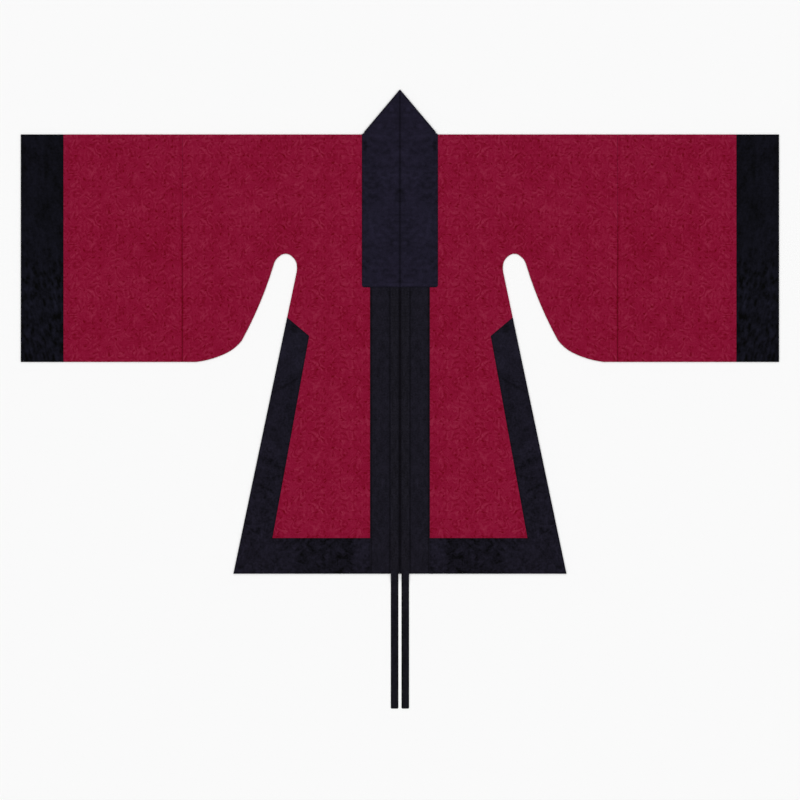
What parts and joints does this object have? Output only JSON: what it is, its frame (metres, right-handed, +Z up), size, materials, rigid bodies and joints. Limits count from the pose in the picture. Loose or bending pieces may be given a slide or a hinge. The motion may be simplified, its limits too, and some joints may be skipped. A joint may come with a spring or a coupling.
{
  "type": "wide-sleeved open-front hanfu robe laid flat",
  "caption": "Open-front robe with wide sleeves, straight banded collar, side slits, dark bands and two long ties, laid flat on its back.",
  "frame": {"origin": "on the ground, at the middle of the robe's width and of its length from the collar's peak to the ends of the ties", "axes": "+X to the wearer's left along the sleeves, +Y towards the collar's peak, +Z up out of the robe's front"},
  "size_m": [1.896, 1.5486, 0.0042],
  "materials": {
    "crimson_brocade": "satin woven damask, tone on tone",
    "navy_band": "matt heavy twill, pressed flat",
    "navy_collar": "matt plain weave, pressed flat",
    "navy_tie": "matt folded ribbon"
  },
  "bodies": {
    "root": {"body_left": "crimson_brocade", "body_right": "crimson_brocade", "sleeve_left": "crimson_brocade", "sleeve_right": "crimson_brocade", "cuff_left": "navy_band", "cuff_right": "navy_band", "front_band_left": "navy_band", "front_band_right": "navy_band", "hem_front_left": "navy_band", "hem_front_right": "navy_band", "hem_back": "navy_band", "slit_front_left": "navy_band", "slit_front_right": "navy_band", "slit_back_left": "navy_band", "slit_back_right": "navy_band", "collar_left": "navy_collar", "collar_right": "navy_collar", "tie_left": "navy_tie", "tie_right": "navy_tie"}
  },
  "joints": []
}
